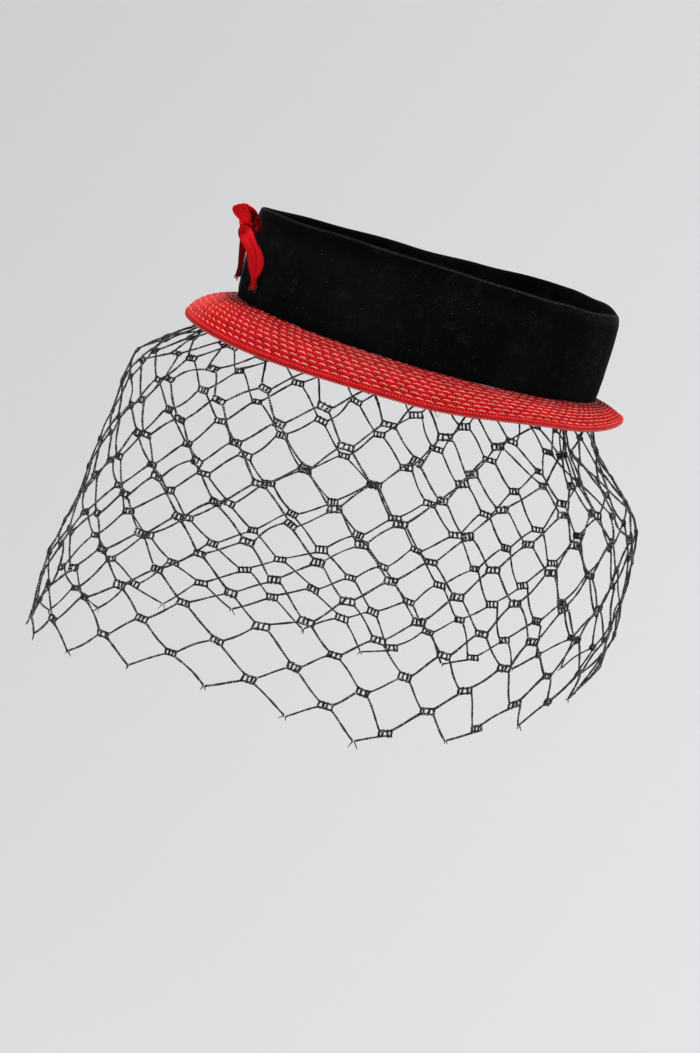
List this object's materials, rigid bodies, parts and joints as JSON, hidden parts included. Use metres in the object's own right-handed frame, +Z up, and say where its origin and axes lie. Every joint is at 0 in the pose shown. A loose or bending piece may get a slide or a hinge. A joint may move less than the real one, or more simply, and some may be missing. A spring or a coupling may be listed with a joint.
{
  "type": "veiled tilt hat",
  "caption": "Small oval tilt hat: upright black velvet crown, turned-down red straw braid brim, ribbon bow at the front and a diamond net veil that hangs round the head.",
  "frame": {"origin": "centre of the head opening, level with the crown's foot at front and back", "axes": "+Z up along the crown, -Y to the hat's front, +X to the wearer's left"},
  "size_m": [0.209, 0.2689, 0.2198],
  "materials": {
    "black_velvet": "deep black short-pile velvet with a faint grey sheen and a little lint",
    "red_straw_braid": "glossy red straw plaited in narrow rows, with pale highlights on each plait",
    "red_velvet_ribbon": "red velvet ribbon with frayed cut ends",
    "black_net": "black twisted yarn, knotted in diamonds, slightly glinting"
  },
  "bodies": {
    "root": {"crown_band": "black_velvet", "crown_tip": "black_velvet", "brim": "red_straw_braid", "bow_knot": "red_velvet_ribbon", "bow_loop_left": "red_velvet_ribbon", "bow_loop_right": "red_velvet_ribbon", "bow_tail_left": "red_velvet_ribbon", "bow_tail_right": "red_velvet_ribbon", "veil": "black_net"}
  },
  "joints": []
}
